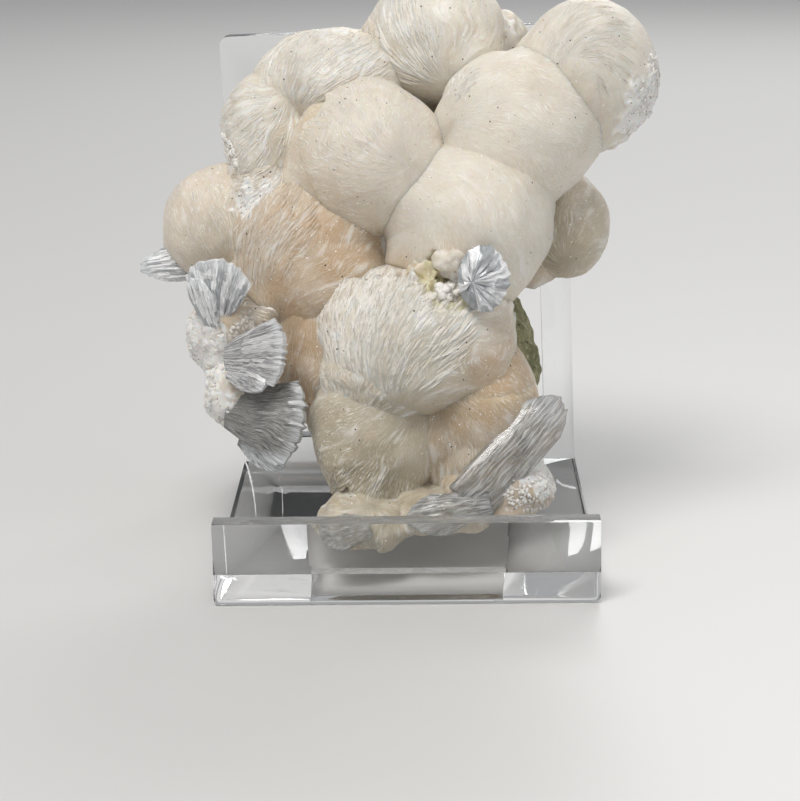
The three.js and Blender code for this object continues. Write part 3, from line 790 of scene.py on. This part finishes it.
def knob_patch(name, rows, number):
    bpy.ops.mesh.primitive_ico_sphere_add(subdivisions=2, radius=1)
    model = bpy.context.object
    knob = points_of(model.data)
    faces = np.array([face.vertices[:] for face in model.data.polygons])
    bpy.data.objects.remove(model)
    all_points, whiteness = [], []
    for row, (ball, facing, radius, count, size, white, flat) in enumerate(rows):
        around, slant, chance = places_on(ball, facing, radius, count, 40 + 10 * number + row)
        skin = ball_skin(ball, around, slant)[0]
        outward = skin - np.array(BALLS[ball][0])
        outward /= lengths(outward)[:, None]
        for i in range(len(skin)):
            bumps = 1 + 0.55 * unevenness(knob * 1.7 + 9 * i, 42) + 0.25 * unevenness(knob * 3.6 + 9 * i, 43)
            form = knob * bumps[:, None] * size * (0.4 + 0.7 * chance[i, 2]) * (0.7 + 0.6 * chance[i, 3:6])
            form -= (1 - flat) * (form @ outward[i])[:, None] * outward[i]
            all_points.append(skin[i] + form)
            whiteness.append(np.full(len(knob), white))
    points = np.concatenate(all_points)
    all_faces = np.concatenate([faces + i * len(knob) for i in range(len(all_points))])
    # The second value gives the knobs a little painted crease shade.
    tone = np.stack([np.full(len(points), 0.2), np.full(len(points), 0.2), np.concatenate(whiteness)], axis=1)
    patch = mesh_piece(name, points, all_faces, fibre=points / 0.4, tone=tone, lift=points * 0)
    bpy.ops.object.shade_smooth()
    return patch


for number, (name, rows) in enumerate(CRUSTS.items()):
    finish_piece(knob_patch(name, rows, number), "crust_" + name, loose_gyrolite, "gyrolite", "gyrolite_cluster")

# %% [markdown]
# ## The apophyllite sheaves
# Each sheaf is a fan of thin crystals that spread from one root and end in a notched edge. A flat grid is extruded
# into a closed slab, and its points are laid out as a fan. Every rib gets its own height, so the slab is folded into
# long facets, and small differences along the ribs break them up. The fans' faces stay flat, because smooth shading
# would melt the facets. The worn blade and the two foot crystals are subdivided and shaded smoothly instead.

# %% Where the sheaves are, in millimetres
# root, tip, facing, width at the root, spread in degrees, thickness, ribs, rows, fold height, roundness of the end
SHEAVES = {
    "left_point": [
        ((-35.4, 3.4, 46.6), (-44, 2.6, 45.9), (0.1, -0.9, 0.5), 6.2, -4, 3.6, 8, 6, 0.22, 0.4),
    ],
    "upper_left_fan": [
        ((-30.4, -7.0, 38.4), (-29.8, -10.2, 49.6), (-0.2, -0.95, -0.25), 3.0, 27, 2.4, 9, 10, 0.5, 0.25),
        ((-31.4, -7.8, 38.2), (-34, -9.4, 46.6), (-0.5, -0.8, -0.2), 2.8, 12, 1.8, 5, 6, 0.2, 0.4),
    ],
    "middle_left_fan": [
        ((-29.0, -8.4, 33.2), (-19.2, -15.2, 35.6), (-0.1, -0.9, 0.35), 4.6, 18, 2.8, 12, 9, 0.14, 0.14),
        ((-28.6, -11.6, 31.2), (-22.4, -15.8, 30.0), (-0.1, -0.9, 0.5), 2.0, 15, 1.8, 6, 5, 0.2, 0.5),
    ],
    "lower_left_fan": [
        ((-28.8, -10.4, 24.8), (-16.4, -16.2, 23.2), (-0.2, -0.9, 0.3), 6, 21, 3.4, 14, 10, 0.14, 0.16),
        ((-26.4, -10.4, 20.8), (-19.8, -14.2, 16.2), (-0.3, -0.9, 0), 4.6, 10, 2.8, 6, 6, 0.2, 0.45),
    ],
    "right_blade": [
        ((9.6, -20.0, 11.2), (25.2, -11.6, 26.8), (0.2, -0.8, 0.3), 8.4, 0, 4.2, 8, 14, 0.06, 0.2),
    ],
    "foot_left": [
        ((-5.4, -25.0, 9.2), (-13.6, -24.4, 7.6), (0, -0.9, 0.4), 3.6, 17, 3.0, 7, 9, 0.14, 0.5),
    ],
    "foot_centre": [
        ((13.6, -20.4, 11.4), (-0.4, -21.8, 8.6), (0, -0.9, 0.4), 4.6, 10, 3.4, 10, 12, 0.3, 0.35),
    ],
}
# Sheaves whose facets are melted into smooth, rounded blades
SMOOTH_SHEAVES = ("right_blade", "foot_left", "foot_centre")


# %% A closed slab with ribs and rows
def slab(ribs, rows):
    """Across runs from -1 to 1, along from 0 to 1, and the side is -1 or 1."""
    bpy.ops.object.select_all(action="DESELECT")
    bpy.ops.mesh.primitive_grid_add(x_subdivisions=2 * ribs, y_subdivisions=rows, size=2)
    made = bpy.context.object
    edit_all()
    bpy.ops.mesh.extrude_region_move(TRANSFORM_OT_translate={"value": (0, 0, 1)})
    bpy.ops.object.mode_set(mode="OBJECT")
    turn_faces_outward()
    grid = points_of(made.data)
    return made, grid[:, 0], (grid[:, 1] + 1) / 2, 2 * grid[:, 2] - 1


def unit(vector):
    return np.array(vector, float) / np.linalg.norm(vector)


def chances(first, second, seed):
    """A number from -0.5 to 0.5 for each pair of counters."""
    cells = np.stack([np.round(first), np.round(second), np.full(len(first), seed)], axis=1)
    return lattice(cells, 51) - 0.5


def sheaf(shape, number):
    """One fan: its ribs are laid out around the root, then each point gets its height above the fan's plane."""
    root, tip, facing, root_width, spread, thick, ribs, rows, fold, tip_round = shape
    made, across, along, side = slab(ribs, rows)
    start = np.array(root, float)
    way = np.array(tip, float) - start
    length = np.linalg.norm(way)
    way = unit(way)
    wide = unit(np.cross(facing, way))
    up = np.cross(way, wide)
    column = (across + 1) * ribs
    row = along * rows
    ridge = np.where(np.round(column) % 2 == 0, 1.0, -1.0)
    seed = 10 * number
    shifted = across + 0.7 / ribs * chances(column, column * 0, seed) * (np.abs(across) < 0.99)
    angle = math.radians(spread) * shifted
    notch = 1 - 0.008 * (1 - ridge) + 0.06 * chances(column, column * 0, seed + 1)
    reach = length * along * (1 - tip_round * shifted ** 2) * (1 + (notch - 1) * along)
    body = thick / 2 * (1 - 0.62 * shifted ** 2) * np.interp(along, (0, 0.5, 0.85, 1), (0.75, 1, 0.85, 0.35))
    ridge = 0.35 * ridge + 1.5 * chances(column + 50 * (side > 0), column * 0, seed + 4)
    jitter = 1.2 * chances(column + 100 * (side > 0), row, seed + 2)
    inner = np.sin(np.pi * np.clip(along, 0.04, 0.96)) ** 0.5
    bow = 0.9 * math.sqrt(fold) * np.sin(np.pi * along * 1.3 + 2.0 * shifted) * along * (1 - along)
    height = side * body + fold * inner * (0.5 * ridge * side + jitter) + bow
    slide = 0.3 * length / rows * chances(column, row, seed + 3) * (along > 0.02) * (along < 0.98)
    place = (
        start + way * ((reach + slide) * np.cos(angle))[:, None]
        + wide * (shifted * root_width / 2 + (reach + slide) * np.sin(angle))[:, None] + up * height[:, None]
    )
    move_points(made.data, place * MM)
    marks = np.stack([shifted * ribs + 17 * number + 0.5, height, row / rows], axis=1)
    keep_on_corners(made.data, "fibre", marks)
    turn_faces_outward()
    return made


# %% Silvery apophyllite
# The silvery look is painted: facets get dark or bright painted reflections, and painted glints run along the lines
# and at the tips.
PAINTED_GLINT_WHITE = (0.93, 0.95, 0.97, 1)
LOW_PAINTED_HIGHLIGHT = (0.9, 0.92, 0.94, 1)
# Dark and bright facets, the crystal's grey with painted dark and bright reflections, clear share, share of the
# painted reflections, waviness and fineness of the lines
PAINTS = {
    "silvery_apophyllite": ((0.47, 0.49, 0.51, 1), (0.98, 0.98, 0.99, 1), 0.35, 0.55, 0.16, 2.4),
    "satin_apophyllite": ((0.36, 0.36, 0.37, 1), (0.8, 0.8, 0.8, 1), 0.45, 0.3, 0.3, 4.2),
    "grey_apophyllite": ((0.19, 0.188, 0.18, 1), (0.42, 0.415, 0.4, 1), 0.55, 0.12, 0.5, 4.0),
    "clear_apophyllite": ((0.5, 0.505, 0.5, 1), (0.78, 0.78, 0.765, 1), 0.8, 0.1, 0.22, 1.6),
}
# Height in millimetres below which a paint gets a painted silvery highlight on its brighter facets
PAINTED_HIGHLIGHT_BELOW = {"grey_apophyllite": 20}


def apophyllite_material(name):
    """Each facet between ribs gets a dark or bright painted reflection, and fine, slightly wavy lines run along the
    ribs.
    """
    dark_facets, bright_facets, clear_share, reflection_share, wave, fineness = PAINTS[name]
    material, tree, shader = bare_material(name)
    place = place_of(tree)
    across, _, outward = parts_of(tree, kept_value(tree, "fibre"))
    broad_wave = rise(tree, noise(tree, place, 190, 2.0), 0.25, 0.75, -2 * wave, 2 * wave)
    small_wave = rise(tree, noise(tree, place, 520, 2.0), 0.2, 0.8, -0.5 * wave, 0.5 * wave)
    wavy = sums(tree, "ADD", sums(tree, "ADD", across, broad_wave), small_wave)
    cut = sums(tree, "ADD", outward, rise(tree, noise(tree, place, 300, 1.0), 0.3, 0.7, -0.2, 0.2))
    facet = add_node(tree, "ShaderNodeTexWhiteNoise")
    steps = (sums(tree, "FLOOR", times(tree, wavy, 1.3)), sums(tree, "FLOOR", times(tree, cut, 3.0)))
    feed(tree, facet.inputs["Vector"], joined_parts(tree, *steps))
    thread = joined_parts(tree, times(tree, wavy, fineness), times(tree, outward, 5.0))
    lines = noise(tree, thread, 1.0, 3.0, 0.6)
    painted_reflection = sums(tree, "ADD", times(tree, facet.outputs["Value"], reflection_share), times(tree, lines, 1 - reflection_share))
    colour = layers(
        tree, dark_facets,
        (rise(tree, painted_reflection, 0.36, 0.6), bright_facets),
        # Painted glints along the bright lines and near the tips
        (rise(tree, lines, 0.6, 0.72, 0.0, 0.7), PAINTED_GLINT_WHITE),
        (rise(tree, outward, 0.84, 0.97, 0.0, 0.6), PAINTED_GLINT_WHITE),
    )
    # Painted silvery highlight on the lower part of the grey fan
    if name in PAINTED_HIGHLIGHT_BELOW:
        limit = PAINTED_HIGHLIGHT_BELOW[name]
        low = rise(tree, parts_of(tree, place)[2], limit * MM, (limit - 2) * MM)
        low = times(tree, low, rise(tree, painted_reflection, 0.34, 0.56, 0.15, 1.0))
        colour = blend_colours(tree, low, colour, LOW_PAINTED_HIGHLIGHT)
    clear = rise(tree, lines, 0.66, 0.4, clear_share - 0.3, clear_share)
    roughness = rise(tree, lines, 0.3, 0.7, 0.07, 0.2)
    settle(tree, shader, Base_Color=colour, Transmission_Weight=clear, Roughness=roughness, IOR=1.535)
    add_bumps(tree, shader, lines, 0.1, 0.5)
    return material


apophyllites = {name: apophyllite_material(name) for name in PAINTS}
SHEAF_PAINTS = {
    "left_point": "silvery_apophyllite", "upper_left_fan": "silvery_apophyllite",
    "middle_left_fan": "satin_apophyllite", "lower_left_fan": "grey_apophyllite",
    "right_blade": "clear_apophyllite", "foot_left": "clear_apophyllite", "foot_centre": "clear_apophyllite",
}
for number, (name, shapes) in enumerate(SHEAVES.items()):
    sheaves = grown_together([sheaf(shape, 3 * number + i) for i, shape in enumerate(shapes)])
    if name in SMOOTH_SHEAVES:
        change(sheaves, "SUBSURF", levels=2)
        bpy.ops.object.select_all(action="DESELECT")
        sheaves.select_set(True)
        bpy.ops.object.shade_smooth()
    paint = apophyllites[SHEAF_PAINTS[name]]
    finish_piece(sheaves, "crystals_" + name, paint, "apophyllite", "apophyllite_" + name)

# %% [markdown]
# ## The rosette
# One sheaf is seen end on, as a round shield of wedges around one point. The same slab is bent into a full ring, its
# two ends are merged, and its inner rim closes at the hub.

# %% Rosette
# Middle of the disc, its half-sizes, and where the wedges meet, as shares of the half-sizes to the left and down
DISC, DISC_SIZE, MEETING = (12.4, -17.5, 47.7), (4.1, 5.3), (-0.52, -0.06)
ROSETTE_FACING, WEDGES = (0.15, -1, 0.1), 17


def rosette():
    made, across, along, side = slab(WEDGES, 5)
    front = unit(ROSETTE_FACING)
    level = unit(np.cross(front, (0, 0, 1)))
    level *= np.sign(level[0])
    upward = unit(np.cross(front, level))
    upward *= np.sign(upward[2])
    column = np.round((across + 1) * WEDGES) % (2 * WEDGES)
    ridge = np.where(column % 2 == 0, 1.0, -1.0)
    turn = (column + 0.7 * chances(column, column * 0, 301)) * math.pi / WEDGES
    turn = turn - 0.45 * np.sin(turn)
    line = np.stack([np.cos(turn), np.sin(turn)], axis=1)
    meeting = np.array(MEETING)
    toward = line @ meeting
    rim = -toward + np.sqrt(toward ** 2 + 1 - meeting @ meeting)
    rim = rim * (1 + 0.07 * chances(column, column * 0, 302) - 0.02 * ridge)
    flat = (meeting + line * (rim * (0.02 + 0.98 * along))[:, None]) * np.array(DISC_SIZE)
    jitter = 0.8 * chances(column + 100 * (side > 0), along * 5, 303)
    body = np.interp(along, (0, 0.6, 1), (1.7, 1.4, 0.3))
    height = side * body + 0.3 * np.sin(np.pi * along) * (0.6 * ridge * side + jitter)
    place = np.array(DISC) + level * flat[:, :1] + upward * flat[:, 1:] + front * height[:, None]
    move_points(made.data, place * MM)
    keep_on_corners(made.data, "fibre", np.stack([(across + 1) * WEDGES * 0.36 + 0.5, height, 0.45 * along], axis=1))
    edit_all()
    bpy.ops.mesh.remove_doubles(threshold=0.02 * MM)
    bpy.ops.object.mode_set(mode="OBJECT")
    turn_faces_outward()
    return made


paint = apophyllites["silvery_apophyllite"]
finish_piece(rosette(), "crystals_rosette", paint, "apophyllite", "apophyllite_rosette")

# %% [markdown]
# ## The rock
# The balls grew on a green, granular rock. It is a closed form pushed in and out at three scales: broad lumps, grains
# and small pits. Its colour follows the same scales, with paler grains.

# %% Rock
# Its centre and half-sizes in millimetres; its right side leans out towards the foot by this share, within limits
ROCK_CENTRE = np.array((5.2, 13.6, 33.0))
ROCK_HALF = np.array((15.6, 12.4, 21.8))
ROCK_LEAN, LEAN_LIMITS = -0.45, (-2.4, 3.4)

bpy.ops.mesh.primitive_ico_sphere_add(subdivisions=7, radius=1)
rock = bpy.context.object
ways = points_of(rock.data)
surface = ways * ROCK_HALF
lumps = 1.1 * unevenness(surface / 7, 71) + 1.0 * np.abs(unevenness(surface / 3.4, 72)) - 0.4
grains = 0.28 * np.abs(unevenness(surface / 1.1, 73)) + 0.12 * unevenness(surface / 0.6, 74)
points = ROCK_CENTRE + surface + ways * (lumps + grains)[:, None]
points[:, 0] += np.clip(0.2 + ROCK_LEAN * surface[:, 2], *LEAN_LIMITS) * smooth_rise(ways[:, 0], 0.2, 0.9)
points[:, 2] = np.maximum(points[:, 2], LOWEST)
points[:, 1] = np.minimum(points[:, 1], FURTHEST_BACK)
move_points(rock.data, points * MM)
bpy.ops.object.shade_smooth()


def rock_material():
    material, tree, shader = bare_material("green_rock")
    place = place_of(tree)
    broad = noise(tree, place, 180, 4.0)
    grain = noise(tree, place, 1100, 3.0, 0.65)
    colour = layers(
        tree, (0.19, 0.185, 0.09, 1),
        (rise(tree, broad, 0.35, 0.65), (0.33, 0.31, 0.17, 1)),
        (rise(tree, grain, 0.55, 0.7), (0.45, 0.43, 0.3, 1)),
        (rise(tree, grain, 0.42, 0.3), (0.08, 0.08, 0.045, 1)),
    )
    settle(tree, shader, Base_Color=colour, Roughness=rise(tree, grain, 0.3, 0.7, 0.9, 0.6))
    add_bumps(tree, shader, grain, 0.25)
    return material


finish_piece(rock, "rock", rock_material(), "rock", "matrix_rock")

# %% [markdown]
# ## The display stand
# The stand is clear acrylic sheet, 4 mm thick: a base with an opening, a low lip in front and an upright plate with
# a window. Each sheet is a box with rounded edges. They are joined into one body, because two clear bodies that
# touch would show a dark seam.

# %% Sizes of the stand, in millimetres
SHEET, SIDE, FRONT = 4, 30, 35
LIP_HEIGHT, PLATE_HEIGHT = 13, 81.6
LEAN = math.radians(1.6)
EDGE_SEEN = 0.1
OPENING = ((-15, -28.5, -1), (15, -4.5, 5))
WINDOW = ((-23.3, 30, 9), (24.7, 36, 68))


def sheet(name, low, high, lean=0.0, rounding=None, width=0.0):
    """A box from its low to its high corner, turned to the side by lean, with chosen edges rounded."""
    low, high = Vector(low) * MM, Vector(high) * MM
    bpy.ops.object.select_all(action="DESELECT")
    bpy.ops.mesh.primitive_cube_add(size=1, location=(low + high) / 2)
    made = bpy.context.object
    made.name = name
    made.scale = high - low
    bpy.ops.object.transform_apply(location=True, scale=True)
    if rounding:
        bpy.ops.object.mode_set(mode="EDIT")
        bpy.ops.mesh.select_mode(type="EDGE")
        bpy.ops.mesh.select_all(action="DESELECT")
        bpy.ops.object.mode_set(mode="OBJECT")
        for edge in made.data.edges:
            ends = [made.data.vertices[i].co for i in edge.vertices]
            edge.select = rounding((ends[0] + ends[1]) / 2 / MM)
        bpy.ops.object.mode_set(mode="EDIT")
        bpy.ops.mesh.bevel(offset=width * MM, segments=5, affect="EDGES")
        bpy.ops.mesh.select_mode(type="VERT")
        bpy.ops.object.mode_set(mode="OBJECT")
    if lean:
        made.data.transform(Matrix.Rotation(-lean, 4, "Y"))
    return made


def combine(first, second, operation):
    change(first, "BOOLEAN", operation=operation, solver="EXACT", object=second)
    bpy.data.objects.remove(second)
    return first


def low_side_edge(middle):
    return middle.z < EDGE_SEEN / 10 and abs(middle.x) > SIDE - EDGE_SEEN


def high_side_edge(middle):
    return middle.z > PLATE_HEIGHT - EDGE_SEEN / 10 and abs(middle.x) > SIDE - EDGE_SEEN


# %% Joining the sheets and rounding what is left
base = sheet("base", (-SIDE, -FRONT, 0), (SIDE, FRONT, SHEET), 0, low_side_edge, 1)
lip = sheet("lip", (-SIDE, -FRONT, 0), (SIDE, SHEET - FRONT, LIP_HEIGHT), 0, low_side_edge, 1)
plate = sheet("plate", (-SIDE, FRONT - SHEET, 2), (SIDE, FRONT, PLATE_HEIGHT), LEAN, high_side_edge, 1.6)
window = sheet("window", *WINDOW, LEAN)
opening = sheet("opening", *OPENING)
plate = combine(plate, window, "DIFFERENCE")
stand = combine(combine(base, lip, "UNION"), plate, "UNION")
stand = combine(stand, opening, "DIFFERENCE")
change(stand, "BEVEL", width=0.35 * MM, segments=3, limit_method="ANGLE", angle_limit=math.radians(50))
stand.select_set(True)
bpy.ops.object.shade_smooth_by_angle(angle=math.radians(35))


def acrylic_material():
    material, tree, shader = bare_material("clear_acrylic")
    place = place_of(tree)
    wear = rise(tree, noise(tree, place, 260, 4.0, 0.6), 0.55, 0.75, 0.015, 0.12)
    settle(tree, shader, Base_Color=(0.985, 0.99, 0.99, 1), Transmission_Weight=1, IOR=1.49, Roughness=wear)
    add_bumps(tree, shader, noise(tree, place, 90, 2.0), 0.05, 0.1)
    return material


finish_piece(stand, "stand", acrylic_material(), "acrylic", "display_stand")
